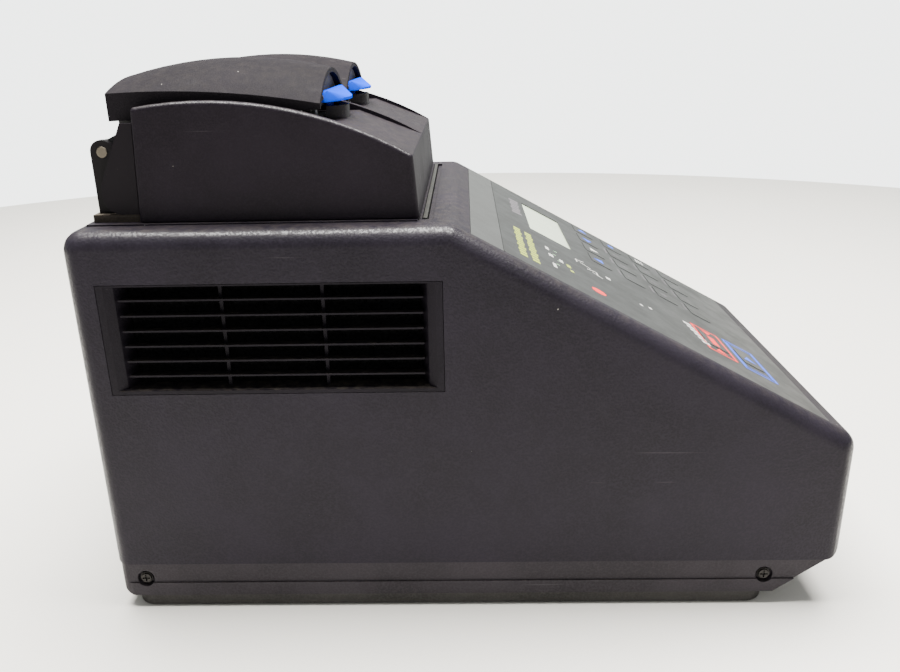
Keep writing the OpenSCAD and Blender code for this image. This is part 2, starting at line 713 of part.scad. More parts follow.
module rear_side_plates() color("#1c1b20") mirrored() {
  z1 = frame_z;
  z2 = top_h + 50;
  across(-mod_hw + cheek_t - 1, 2.8) {
    polygon([[cover_back(z1) + 0.6, z1], [lid_back - 1, z1], [lid_back + 7, z1 + 10], [lid_back + 7, z1 + 14.5],
      [mod_back + 3.6, z2], [cover_back(z2) + 0.6, z2]]);
    translate([lid_back - 2, z1 + 9]) circle(9);
  }
}

// ears that carry the hinge pins, on feet along the module frame
module hinge_brackets() color("#141316") for (x = bracket_places()) difference() {
  union() {
    across(x, bracket_t) {
      polygon([[pin_y - ear_r, frame_z], [pin_y + ear_r, frame_z], [pin_y + ear_r, pin_z], [pin_y - ear_r, pin_z]]);
      translate([pin_y, pin_z]) circle(ear_r);
    }
    block([x - (x > 0 ? 3 : 0), pin_y - ear_r, frame_z], [x + bracket_t + (x > 0 ? 0 : 3), pin_y + ear_r, frame_z + 2.5]);
  }
  translate([x - 1, pin_y, pin_z]) rotate([0, 90, 0]) cylinder(r = pin_r + 0.03, h = bracket_t + 2);
}

function bracket_places() = [-mod_hw + cheek_t + 3, -divider_t / 2 - bracket_t,
  divider_t / 2, mod_hw - cheek_t - 3 - bracket_t];

module hinge_pins() color("#a89f84") mirrored() translate([-mod_hw + cheek_t + 2.6, pin_y, pin_z])
  rotate([0, 90, 0]) cylinder(r = pin_r, h = mod_hw - cheek_t - divider_t / 2 - 2.6 + 0.2);

module lock_bar() color("#b9bcb6") difference() {
  block([-mod_hw + 5, mod_front - bar_w - 0.6, top_h - 10], [mod_hw - 5, mod_front - 0.6, top_h + 0.5]);
  block([-14, mod_front - bar_w - 1, top_h - 5], [14, mod_front - bar_w + 0.2, top_h - 2]);
}

// ---- lids ----

// cross-section of a lid at y: straight skirt, then an arch; moved in at the sides and the top
module lid_section(y, side_in, top_in, low) {
  w = lid_hw - side_in;
  c = crease_at(y) - top_in * 0.6;
  rise = ridge_at(y) - crease_at(y) - top_in * 0.4;
  r = (w * w + rise * rise) / (2 * rise);
  translate([0, y, 0]) rotate([90, 0, 0]) linear_extrude(0.2)
    polygon(concat([[w, skirt_at(y) - low], [-w, skirt_at(y) - low]],
      [for (i = [0 : 16]) let (x = -w + w * i / 8) [x, c + sqrt(r * r - x * x) - r + rise]]));
}

module lid_form(side_in, top_in, low, y0, y1) hull() for (i = [0 : 12])
  lid_section(y0 + (y1 - y0) * i / 12, side_in, top_in, low);

module lid_shell(sx) translate([sx * lid_x, 0, 0]) difference() {
  lid_form(0, 0, 0, lid_front, lid_back);
  lid_form(lid_t, lid_t, 3, lid_front - 1, lid_back - lid_t);
}

module lid_arm(x) difference() {
  across(x, arm_t) {
    translate([pin_y, pin_z]) circle(ear_r - 0.4);
    polygon([[pin_y, pin_z - ear_r + 0.4], [pin_y - ear_r + 0.4, pin_z], [lid_back - 7.5, pin_z + 6.4],
      [lid_back - 7.5, pin_z + 13.2], [lid_back - 18, pin_z + 14.4], [lid_back - 18, pin_z + 22.4],
      [lid_back - 3.4, pin_z + 22.4], [lid_back - 3.4, pin_z + 9.2], [pin_y - 1.9, pin_z + 5.9]]);
  }
  translate([x - 1, pin_y, pin_z]) rotate([0, 90, 0]) cylinder(r = pin_r + run_gap, h = arm_t + 2);
}

// tray inside the lid: front face, plate, two hinge arms and the latch's lugs
module lid_frame(sx) translate([sx * lid_x, 0, 0]) {
  z0 = pin_z + 19.4;
  y0 = lid_front + 3.5;
  w = lid_hw - 7;
  difference() {
    block([-w, y0, z0], [w, lid_back - 4, z0 + 3]);
    for (px = [-1, 1], py = [-1, 1]) translate([px * (block_w / 2 - 8), block_y + py * (block_d / 2 - 10), z0 - 1])
      cylinder(r = post_r + run_gap, h = 5);
  }
  for (s = [-1, 1]) lid_arm(s > 0 ? w - arm_t + 3 : -w - 3);
  intersection() {
    lid_form(lid_t + fit_gap, lid_t + fit_gap, 0, y0 - 0.6, y0 + 3);
    block([-lid_hw, y0, z0 - 1], [lid_hw, y0 + 2, arch_top + 30]);
  }
  for (s = [-1, 1]) difference() {
    union() {
      translate([s * (latch_w / 2 + 1.4), latch_py, latch_pz]) rotate([0, 90, 0])
        cylinder(r = 1.9, h = lug_t, center = true);
      block([s * (latch_w / 2 + 1.4) - lug_t / 2, latch_py, latch_pz - 1.9],
        [s * (latch_w / 2 + 1.4) + lug_t / 2, y0 + 0.5, latch_pz + 1]);
    }
    translate([s * (latch_w / 2 + 1.4), latch_py, latch_pz]) rotate([0, 90, 0])
      cylinder(r = trunnion_r + run_gap, h = 4, center = true);
  }
}

module lid_platen(sx) translate([sx * lid_x, block_y, platen_z]) {
  block([-block_w / 2 + 0.5, -block_d / 2 + 0.5, 0], [block_w / 2 - 0.5, block_d / 2 - 0.5, platen_t]);
  for (px = [-1, 1], py = [-1, 1]) translate([px * (block_w / 2 - 8), py * (block_d / 2 - 10), 0])
    cylinder(r = post_r, h = platen_t + 11);
}

// visor that slopes from a straight back down to a thin bowed lip, with a tongue that drops behind the
// striker and a stub at each end
module latch(sx) translate([sx * lid_x, 0, 0]) {
  z = top_h;
  y = lid_front;
  hull() {
    block([-latch_w / 2, y + 0.4, z + 57], [latch_w / 2, y + 1.4, z + 61.2]);
    block([-latch_w / 2 + 4, y - 1.4, z + 61], [latch_w / 2 - 4, y + 0.6, z + 62.6]);
    for (i = [-6 : 6]) translate([i * (latch_w - 2) / 12, latch_nose + latch_sag(i * (latch_w - 2) / 12) + 1, z + 57])
      cylinder(r = 1, h = latch_lip, $fn = 8);
  }
  block([-9, y + 1.2, z + 50], [9, y + 2.5, z + 58.8]);
  translate([0, latch_py, latch_pz]) rotate([0, 90, 0]) {
    cylinder(r = trunnion_r, h = latch_w + 4.4, center = true);
    cylinder(r = 1.5, h = latch_w - 1, center = true);
  }
}

module left_lid_shell() color("#34323a") lid_shell(-1);
module left_lid_frame() color("#5d5f60") lid_frame(-1);
module left_lid_platen() color("#b8babc") lid_platen(-1);
module left_latch() color("#3f86e8") latch(-1);
module right_lid_shell() color("#34323a") lid_shell(1);
module right_lid_frame() color("#5d5f60") lid_frame(1);
module right_lid_platen() color("#b8babc") lid_platen(1);
module right_latch() color("#3f86e8") latch(1);

base_housing();
bottom_pan();
rubber_feet();
case_screws();
case_shell();
left_vent_grille();
right_vent_grille();
control_overlay();
panel_strip();
lcd_window();
lcd_module();
key_board();
status_leds();
main_board();
power_supply();
rear_panel();
power_entry();
serial_port();
fan_shelf();
fan_frame();
fan_rotor();
power_rocker();
module_frame();
heat_sink();
peltier_tiles();
left_sample_block();
right_sample_block();
left_module_cover();
right_module_cover();
rear_side_plates();
hinge_brackets();
hinge_pins();
left_lid_shell();
left_lid_frame();
left_lid_platen();
left_latch();
right_lid_shell();
right_lid_frame();
right_lid_platen();
right_latch();
lock_bar();
key_up();
key_down();
key_left();
key_right();
key_7();
key_8();
key_9();
key_exit();
key_4();
key_5();
key_6();
key_menu();
key_1();
key_2();
key_3();
key_0();
key_start();
key_stop();
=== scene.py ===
import json
import math

import bmesh
import bpy
from mathutils import Matrix, Vector


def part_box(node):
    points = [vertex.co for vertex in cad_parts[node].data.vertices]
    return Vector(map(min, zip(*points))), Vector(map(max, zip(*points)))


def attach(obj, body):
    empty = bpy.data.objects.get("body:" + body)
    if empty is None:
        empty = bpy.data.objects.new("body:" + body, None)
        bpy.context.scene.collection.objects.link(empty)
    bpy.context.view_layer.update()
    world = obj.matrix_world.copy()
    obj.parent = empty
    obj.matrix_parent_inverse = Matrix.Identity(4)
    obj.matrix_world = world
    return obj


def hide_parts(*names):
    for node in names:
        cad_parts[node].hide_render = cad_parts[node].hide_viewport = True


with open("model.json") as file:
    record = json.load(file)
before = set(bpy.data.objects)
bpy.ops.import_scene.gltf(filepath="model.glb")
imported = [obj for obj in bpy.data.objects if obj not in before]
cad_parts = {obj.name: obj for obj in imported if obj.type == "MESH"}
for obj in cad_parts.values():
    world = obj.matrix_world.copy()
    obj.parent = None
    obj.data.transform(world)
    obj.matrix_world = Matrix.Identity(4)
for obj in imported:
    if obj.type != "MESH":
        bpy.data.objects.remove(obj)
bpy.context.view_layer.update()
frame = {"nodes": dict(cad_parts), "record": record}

MM = 0.001
BODY_OF = {n: body for body, nodes in frame["record"]["behaviour"]["bodies"].items() for n in nodes}
SLOT_OF = {s["node"]: s["material_slot"] for s in frame["record"]["subparts"]}

# The viewpoint: level with the lids, looking across the machine's left side and down at its slope.
CAMERA_AT = Vector((-0.5150, 0.0027, 0.3070))
LOOK = Vector((0.94077, 0.02085, -0.33841))
RIGHT = Vector((0.01525, -0.99969, -0.01922))
LENS = 33.06


# ---- node graphs ----

class Value:
    """A socket that varies; sums on it add Math nodes to its graph."""

    def __init__(self, graph, socket):
        self.graph, self.socket = graph, socket

    def sum(self, operation, *terms):
        return self.graph.node("ShaderNodeMath", {"operation": operation}, dict(enumerate(terms)))

    def __add__(self, other):
        return self.sum("ADD", self, other)

    def __sub__(self, other):
        return self.sum("SUBTRACT", self, other)

    def __rsub__(self, other):
        return self.sum("SUBTRACT", other, self)

    def __mul__(self, other):
        return self.sum("MULTIPLY", self, other)

    def __abs__(self):
        return self.sum("ABSOLUTE", self)

    __radd__ = __add__
    __rmul__ = __mul__


class Graph:
    """A node tree; node() adds one node and gives back the output that is asked for."""

    def __init__(self, tree):
        self.tree = tree

    def node(self, kind, settings=None, inputs=None, out=0):
        made = self.tree.nodes.new(kind)
        for name, value in (settings or {}).items():
            setattr(made, name, value)
        for name, value in (inputs or {}).items():
            self.feed(made.inputs[name], value)
        return Value(self, made.outputs[out])

    def feed(self, socket, value):
        if isinstance(value, Value):
            self.tree.links.new(value.socket, socket)
        else:
            socket.default_value = value

    def part(self, vector, axis):
        return self.node("ShaderNodeSeparateXYZ", inputs={0: vector}, out=axis)


class Finish(Graph):
    """A material: numbers that are the same all over go on the shader, the rest is fed."""

    def __init__(self, name, **shader):
        self.material = bpy.data.materials.new(name)
        self.material.use_nodes = True
        super().__init__(self.material.node_tree)
        self.tree.nodes.clear()
        self.shader = self.tree.nodes.new("ShaderNodeBsdfPrincipled")
        end = self.tree.nodes.new("ShaderNodeOutputMaterial")
        self.tree.links.new(self.shader.outputs[0], end.inputs[0])
        for socket, value in shader.items():
            self.shader.inputs[socket.replace("_", " ")].default_value = value
        self.place = self.node("ShaderNodeTexCoord", out="Object")
        self.facing = self.node("ShaderNodeNewGeometry", out="Normal")

    def scaled(self, x, y, z):
        return self.node("ShaderNodeVectorMath", {"operation": "MULTIPLY"}, {0: self.place, 1: (x, y, z)})

    def noise(self, size, detail=2.0, rough=0.5, at=None):
        """Noise whose blotches are about size metres across."""
        return self.node("ShaderNodeTexNoise", inputs={
            "Vector": at or self.place, "Scale": 1 / size, "Detail": detail, "Roughness": rough})

    def cells(self, size, feature="F1", at=None):
        return self.node("ShaderNodeTexVoronoi", {"feature": feature}, {
            "Vector": at or self.place, "Scale": 1 / size}, "Distance")

    def ease(self, value, low, high, start=0.0, end=1.0):
        return self.node("ShaderNodeMapRange", {"interpolation_type": "SMOOTHSTEP"}, {
            0: value, 1: low, 2: high, 3: start, 4: end})

    def blend(self, share, a, b):
        return self.node("ShaderNodeMix", {"data_type": "RGBA"}, {0: share, 6: a, 7: b}, 2)

    def surface(self, color, roughness, height=None, depth=0.1 * MM, strength=0.5, metallic=None):
        self.feed(self.shader.inputs["Base Color"], color)
        self.feed(self.shader.inputs["Roughness"], roughness)
        if metallic is not None:
            self.feed(self.shader.inputs["Metallic"], metallic)
        if height is not None:
            bump = self.node("ShaderNodeBump", inputs={
                "Strength": strength, "Distance": depth, "Height": height})
            self.feed(self.shader.inputs["Normal"], bump)
        return self.material


def rgb(red, green, blue):
    return (red, green, blue, 1.0)


# ---- finishes ----

def moulded(name, tone, dust=0.15, grain=1.1 * MM, gloss=0.46, depth=0.2 * MM, shine=0.12, handled=0.0):
    """Dark moulded plastic: spark-eroded grain, rubbed patches, hairline scratches, chips and settled dust.
    Hands have polished the tips of the grain on its rounded side edges."""
    f = Finish(name, Specular_IOR_Level=shine, Coat_Roughness=0.24)
    up = f.ease(f.part(f.facing, "Z"), 0.55, 0.95)
    warp = f.node("ShaderNodeVectorMath", {"operation": "ADD"}, {
        0: f.place, 1: f.node("ShaderNodeVectorMath", {"operation": "SCALE"}, {
            0: f.node("ShaderNodeTexNoise", inputs={"Vector": f.place, "Scale": 1 / grain}, out="Color"),
            "Scale": grain * 0.6})})
    pebbles = f.cells(grain, "SMOOTH_F1", warp)
    fine = f.noise(grain * 0.4, 3)
    blotch = f.noise(45 * MM, 4, 0.6)
    rubbed = f.ease(f.noise(14 * MM, 5, 0.7), 0.56, 0.72)
    settled = up * f.ease(f.noise(5 * MM, 5, 0.75), 0.35, 0.75) * dust
    hairs = f.noise(1.6 * MM, 1, 0.5, f.scaled(1.0, 0.012, 1.0))
    hairline = f.ease(hairs, 0.735, 0.75) * f.ease(f.noise(60 * MM, 2), 0.55, 0.65)
    chip = f.ease(f.noise(3.1 * MM, 1), 0.835, 0.85)
    dark = rgb(*(c * 0.80 for c in tone))
    light = rgb(*(c * 1.25 for c in tone))
    color = f.blend(f.ease(blotch, 0.3, 0.7), dark, light)
    color = f.blend(f.ease(pebbles, 0.2, 0.75) * 0.35, color, rgb(*(c * 2.0 + 0.002 for c in tone)))
    color = f.blend(hairline * 0.25, color, rgb(0.12, 0.11, 0.12))
    color = f.blend(chip * 0.8, color, rgb(0.45, 0.43, 0.40))
    color = f.blend(settled, color, rgb(0.20, 0.17, 0.13))
    rough = gloss + f.ease(blotch, 0.25, 0.75) * 0.08 + settled * 0.5 - rubbed * 0.10
    if handled:
        across = abs(f.part(f.facing, "X"))
        tips = f.ease(pebbles, 0.55, 0.25) * 0.8 + 0.2
        f.feed(f.shader.inputs["Coat Weight"], f.ease(across * (1.0 - across), 0.04, 0.16) * tips * handled)
    return f.surface(color, rough, pebbles + fine * 0.35, depth, 0.8)


def printed_film(name, tone, gloss=0.34):
    f = Finish(name, Specular_IOR_Level=0.38)
    smear = f.noise(22 * MM, 4, 0.65)
    weave = f.noise(0.35 * MM, 2)
    dark = rgb(*(c * 0.9 for c in tone))
    light = rgb(*(c * 1.12 for c in tone))
    rough = gloss + f.ease(smear, 0.3, 0.8) * 0.14
    return f.surface(f.blend(smear, dark, light), rough, weave, 0.03 * MM, 0.4)


def bare_metal(name, tone, gloss=0.3, drawn=(1.0, 0.06, 1.0), stain=(0.2, 0.17, 0.12)):
    """Metal with a fine drawn grain along one axis and dull stains."""
    f = Finish(name)
    streaks = f.noise(0.5 * MM, 3, 0.6, f.scaled(*drawn))
    stains = f.ease(f.noise(6 * MM, 4, 0.7), 0.5, 0.8)
    color = f.blend(stains * 0.6, rgb(*tone), rgb(*stain))
    rough = gloss + streaks * 0.22 + stains * 0.25
    return f.surface(color, rough, streaks, 0.05 * MM, 0.5, 1.0 - stains * 0.5)


def painted(name, tone, gloss=0.4, shine=0.5):
    f = Finish(name, Specular_IOR_Level=shine)
    peel = f.noise(1.1 * MM, 2)
    wear = f.ease(f.noise(5 * MM, 5, 0.75), 0.66, 0.74)
    color = f.blend(wear * 0.5, rgb(*tone), rgb(0.22, 0.2, 0.18))
    return f.surface(color, gloss + peel * 0.12 + wear * 0.2, peel, 0.06 * MM, 0.5)


def rubber(name):
    f = Finish(name, Specular_IOR_Level=0.3)
    dust = f.ease(f.noise(3 * MM, 4), 0.45, 0.8)
    return f.surface(f.blend(dust, rgb(0.012, 0.012, 0.012), rgb(0.07, 0.065, 0.06)),
                     0.75 + dust * 0.15, f.noise(0.6 * MM, 3), 0.08 * MM, 0.6)


def foam(name):
    """Near-black open-cell foam, painted shade for the dark inside of the vents, grey with dust where the
    air comes in.
    """
    f = Finish(name, Specular_IOR_Level=0.1)
    pores = f.cells(1.3 * MM, "SMOOTH_F1")
    dusty = f.ease(f.noise(9 * MM, 5, 0.7), 0.5, 0.8) * 0.3
    color = f.blend(f.ease(pores, 0.2, 0.6), rgb(0.002, 0.002, 0.002), rgb(0.008, 0.008, 0.009))
    return f.surface(f.blend(dusty, color, rgb(0.03, 0.027, 0.024)), 0.9 - dusty * 0.1, pores, 0.5 * MM, 0.9)


def glossy(name, tone, gloss=0.25, shine=0.5):
    f = Finish(name, Specular_IOR_Level=shine, Coat_Roughness=0.2)
    smear = f.noise(7 * MM, 4, 0.6)
    color = f.blend(smear, rgb(*(c * 0.86 for c in tone)), rgb(*tone))
    return f.surface(color, gloss + smear * 0.18, f.noise(0.7 * MM, 2), 0.03 * MM, 0.35)


def display_window(name):
    """Pale green reflective display under a clear window, with the cells of its glass just showing."""
    f = Finish(name, Specular_IOR_Level=0.6)
    cells = f.node("ShaderNodeTexBrick", {"offset": 0.0, "squash": 1.0}, {
        "Vector": f.place, "Scale": 1 / (3.2 * MM), "Mortar Size": 0.02, "Color1": rgb(0.60, 0.68, 0.53),
        "Color2": rgb(0.58, 0.66, 0.51), "Mortar": rgb(0.55, 0.63, 0.48)}, "Color")
    smear = f.noise(15 * MM, 3)
    return f.surface(cells, 0.12 + smear * 0.16, f.noise(4 * MM, 1), 0.02 * MM, 0.3)


def circuit(name):
    f = Finish(name, Specular_IOR_Level=0.5)
    tracks = f.ease(f.cells(2.5 * MM, "DISTANCE_TO_EDGE"), 0.04, 0.08)
    color = f.blend(tracks, rgb(0.06, 0.22, 0.09), rgb(0.02, 0.10, 0.035))
    return f.surface(color, 0.4 + tracks * 0.15, tracks, 0.05 * MM, 0.4)


BODY_TONE = (0.0120, 0.0098, 0.0150)
FINISHES = {
    "case_plastic": moulded("case_plastic", BODY_TONE, 0.12, handled=0.6),
    "base_plastic": moulded("base_plastic", (0.0250, 0.0215, 0.0258), 0.2),
    "pan_plastic": moulded("pan_plastic", (0.0340, 0.0320, 0.0310), 0.3, gloss=0.6),
    "grille_plastic": moulded(
        "grille_plastic", (0.0080, 0.0066, 0.0095), 0.25, 0.7 * MM, depth=0.1 * MM, shine=0.08),
    "cover_plastic": moulded(
        "cover_plastic", (0.0095, 0.0070, 0.0108), 0.10, 0.8 * MM, 0.5, 0.15 * MM, handled=0.35),
    "lid_plastic": moulded("lid_plastic", (0.0105, 0.0090, 0.0112), 0.04, 0.6 * MM, 0.62, 0.12 * MM, 0.05),
    "lid_frame_plastic": moulded(
        "lid_frame_plastic", (0.050, 0.049, 0.052), 0.1, 0.6 * MM, 0.55, 0.1 * MM, 0.15),
    "fan_plastic": moulded("fan_plastic", (0.008, 0.008, 0.008), 0.4, 0.6 * MM, 0.5, 0.05 * MM),
    "rotor_plastic": moulded("rotor_plastic", (0.010, 0.010, 0.011), 0.4, 0.6 * MM, 0.5, 0.05 * MM),
    "overlay_film": printed_film("overlay_film", (0.020, 0.021, 0.020)),
    "strip_film": printed_film("strip_film", (0.050, 0.052, 0.050), 0.36),
    "key_film": printed_film("key_film", (0.023, 0.024, 0.023)),
    "print_blue": printed_film("print_blue", (0.02, 0.10, 0.75), 0.4),
    "print_pale": printed_film("print_pale", (0.52, 0.52, 0.50), 0.4),
    "print_red": printed_film("print_red", (0.80, 0.02, 0.02), 0.4),
    "print_lime": printed_film("print_lime", (0.34, 0.40, 0.06), 0.4),
    "print_faint": printed_film("print_faint", (0.115, 0.105, 0.115), 0.4),
    "foot_rubber": rubber("foot_rubber"),
    "screw_steel": bare_metal("screw_steel", (0.035, 0.033, 0.032), 0.38, stain=(0.012, 0.010, 0.009)),
    "shelf_steel": bare_metal("shelf_steel", (0.30, 0.30, 0.29), 0.4),
    "supply_case": bare_metal("supply_case", (0.35, 0.35, 0.36), 0.4),
    "connector_shell": bare_metal("connector_shell", (0.55, 0.55, 0.55), 0.28),
    "frame_casting": moulded("frame_casting", (0.040, 0.033, 0.027), 0.9, 0.9 * MM, 0.75, 0.2 * MM, 0.2),
    "sink_aluminium": bare_metal("sink_aluminium", (0.40, 0.40, 0.40), 0.35, (0.06, 1.0, 1.0)),
    "block_silver": bare_metal("block_silver", (0.72, 0.72, 0.71), 0.22, (0.06, 1.0, 1.0)),
    "platen_aluminium": bare_metal("platen_aluminium", (0.62, 0.62, 0.62), 0.28, (0.06, 1.0, 1.0)),
    "pin_metal": bare_metal("pin_metal", (0.17, 0.15, 0.12), 0.42),
    "side_plate_paint": painted("side_plate_paint", (0.0085, 0.0065, 0.0090), 0.45, 0.12),
    "bracket_paint": painted("bracket_paint", (0.0060, 0.0050, 0.0062), 0.42, 0.15),
    "back_sheet": painted("back_sheet", (0.015, 0.014, 0.016), 0.5),
    "entry_plastic": glossy("entry_plastic", (0.007, 0.007, 0.007)),
    "rocker_plastic": glossy("rocker_plastic", (0.006, 0.006, 0.006)),
    "latch_blue": glossy("latch_blue", (0.0, 0.060, 0.80), 0.75, 0.0),
    # near-black foam put behind the vents as painted shade
    "filter_foam": foam("filter_foam"),
    "led_lens": glossy("led_lens", (0.20, 0.32, 0.20), 0.2),
    "bar_film": moulded("bar_film", (0.030, 0.030, 0.028), 0.1, 0.8 * MM, 0.4, 0.05 * MM),
    "display_window": display_window("display_window"),
    "display_body": circuit("display_body"),
    "circuit_board": circuit("circuit_board"),
    "tile_ceramic": glossy("tile_ceramic", (0.75, 0.73, 0.68), 0.5),
}
# Record slots whose whole surface is the dark film; their names say the colour of their print.
FINISH_OF_SLOT = {s: "key_film" for s in ("key_film_blue", "key_film_pale", "key_film_red")}
SLOT_OF_PRINT = {"print_blue": "key_film_blue", "print_pale": "key_film_pale", "print_red": "key_film_red",
                 "print_lime": "led_lens", "print_faint": "key_film"}


# ---- making pieces ----

def settle(obj, body, slot, finish=None, replaces=()):
    """Gives a finished mesh its material, picked by its finish or record slot, and its body."""
    obj.data.materials.clear()
    obj.data.materials.append(FINISHES[finish or FINISH_OF_SLOT.get(slot, slot)])
    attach(obj, body)
    if replaces:
        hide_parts(*replaces)
    return obj


def add_object(name, mesh):
    obj = bpy.data.objects.new(name, mesh)
    bpy.context.scene.collection.objects.link(obj)
    return obj


def baked(obj):
    """The object's modifiers worked into a plain mesh."""
    made = bpy.data.meshes.new_from_object(obj.evaluated_get(bpy.context.evaluated_depsgraph_get()))
    obj.modifiers.clear()
    obj.data = made
    return obj


def soften(obj, width, segments=2, angle=32, smooth=34):
    """Rounds an object's sharp edges and shades its curves smooth while its flats stay flat."""
    if width:
        bevel = obj.modifiers.new("edges", "BEVEL")
        bevel.width, bevel.segments, bevel.limit_method = width, segments, "ANGLE"
        bevel.angle_limit = math.radians(angle)
        bevel.use_clamp_overlap = True
        baked(obj)
    obj.data.shade_smooth()
    obj.data.set_sharp_from_angle(angle=math.radians(smooth))
    weigh = obj.modifiers.new("flats", "WEIGHTED_NORMAL")
    weigh.keep_sharp = True
    return baked(obj)


def refined(node, bevel=0.4 * MM, segments=2, angle=32):
    """A CAD node's shape with merged faces and rounded edges, standing for that node."""
    mesh = bpy.data.meshes.new(node + "_piece")
    work = bmesh.new()
    work.from_mesh(frame["nodes"][node].data)
    bmesh.ops.remove_doubles(work, verts=work.verts, dist=0.004 * MM)
    bmesh.ops.dissolve_limit(work, angle_limit=math.radians(0.6), verts=work.verts, edges=work.edges)
    work.to_mesh(mesh)
    work.free()
    obj = add_object(node + "_piece", mesh)
    soften(obj, bevel, segments, angle)
    return settle(obj, BODY_OF[node], SLOT_OF[node], replaces=[node])


# ---- what repeats ----

class Pattern(Graph):
    """A geometry tree with named inputs, given as name: (socket kind, value)."""

    def __init__(self, name, sizes):
        super().__init__(bpy.data.node_groups.new(name, "GeometryNodeTree"))
        face = self.tree.interface
        face.new_socket(name="Geometry", in_out="OUTPUT", socket_type="NodeSocketGeometry")
        self.sockets = {n: face.new_socket(name=n, in_out="INPUT", socket_type="NodeSocket" + kind)
                        for n, (kind, _) in sizes.items()}
        self.values = {n: value for n, (_, value) in sizes.items()}
        self.inside = self.tree.nodes.new("NodeGroupInput")

    def size(self, name):
        return Value(self, self.inside.outputs[name])

    def sign(self, value):
        return value.sum("SIGN", value)

    def piece(self, name, geometry, body, slot, finish=None):
        """Ends the tree, runs it on an empty object and keeps the plain mesh that it makes."""
        end = self.tree.nodes.new("NodeGroupOutput")
        real = self.node("GeometryNodeRealizeInstances", inputs={0: geometry})
        coated = self.node("GeometryNodeSetMaterial", inputs={0: real, "Material": FINISHES[finish or slot]})
        self.feed(end.inputs[0], coated)
        obj = add_object(name, bpy.data.meshes.new(name))
        run = obj.modifiers.new(name, "NODES")
        run.node_group = self.tree
        for n, value in self.values.items():
            run[self.sockets[n].identifier] = value
        soften(baked(obj), 0)
        return settle(obj, body, slot, finish)


def screws(name, body, centre, spread, counts, tilt, turn, opposed=0.0, radius=2.0 * MM):
    """Cross-slotted pan heads on a grid; opposed ones on the two sides face away from each other."""
    g = Pattern(name, {
        "Centre": ("Vector", centre), "Width": ("Float", spread[0]), "Depth": ("Float", spread[1]),
        "Columns": ("Int", counts[0]), "Rows": ("Int", counts[1]), "Tilt": ("Vector", tilt),
        "Turn": ("Vector", turn), "Opposed": ("Float", opposed), "Radius": ("Float", radius)})
    r = g.size("Radius")
    head = g.node("GeometryNodeMeshCone", inputs={
        "Vertices": 28, "Radius Top": r * 0.82, "Radius Bottom": r, "Depth": r * 0.5})
    slot_sizes = [g.node("ShaderNodeCombineXYZ", inputs=dict(enumerate(sides)))
                  for sides in ((r * 1.3, r * 0.24, r * 0.5), (r * 0.24, r * 1.3, r * 0.5))]
    slots = [g.node("GeometryNodeMeshCube", inputs={0: size}) for size in slot_sizes]
    cross = g.tree.nodes.new("GeometryNodeMeshBoolean")
    cross.operation, cross.solver = "DIFFERENCE", "EXACT"
    g.feed(cross.inputs[0], head)
    lift = g.node("ShaderNodeCombineXYZ", inputs={2: r * 0.42})
    for slot in slots:
        g.feed(cross.inputs[1], g.node("GeometryNodeTransform", inputs={0: slot, "Translation": lift}))
    grid = g.node("GeometryNodeMeshGrid", inputs={
        "Size X": g.size("Width"), "Size Y": g.size("Depth"),
        "Vertices X": g.size("Columns"), "Vertices Y": g.size("Rows")})
    side = g.sign(g.part(g.node("GeometryNodeInputPosition"), "X"))
    share = g.size("Opposed") * side + (1.0 - g.size("Opposed"))
    turned = g.node("ShaderNodeVectorMath", {"operation": "SCALE"}, {0: g.size("Turn"), "Scale": share})
    placed = g.node("GeometryNodeInstanceOnPoints", inputs={
        "Points": grid, "Instance": Value(g, cross.outputs[0]), "Rotation": turned})
    moved = g.node("GeometryNodeTransform", inputs={
        0: placed, "Translation": g.size("Centre"), "Rotation": g.size("Tilt")})
    return g.piece(name, moved, body, "screw_steel")


def well_rims(name, node, across, along, pitch, radius):
    """The raised, polished lip around every well of a sample block."""
    low, high = (Vector(c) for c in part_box(node))
    middle = (low + high) / 2
    g = Pattern(name, {
        "Centre": ("Vector", (middle.x, middle.y, high.z)), "Pitch": ("Float", pitch),
        "Across": ("Int", across), "Along": ("Int", along), "Radius": ("Float", radius),
        "Lip": ("Float", 0.22 * MM)})
    ring = g.node("GeometryNodeCurvePrimitiveCircle", inputs={"Resolution": 20, "Radius": g.size("Radius")})
    bead = g.node("GeometryNodeCurvePrimitiveCircle", inputs={"Resolution": 6, "Radius": g.size("Lip")})
    lip = g.node("GeometryNodeCurveToMesh", inputs={"Curve": ring, "Profile Curve": bead})
    grid = g.node("GeometryNodeMeshGrid", inputs={
        "Size X": g.size("Pitch") * (across - 1.0), "Size Y": g.size("Pitch") * (along - 1.0),
        "Vertices X": g.size("Across"), "Vertices Y": g.size("Along")})
    placed = g.node("GeometryNodeInstanceOnPoints", inputs={"Points": grid, "Instance": lip})
    moved = g.node("GeometryNodeTransform", inputs={0: placed, "Translation": g.size("Centre")})
    return g.piece(name, moved, BODY_OF[node], "block_silver")


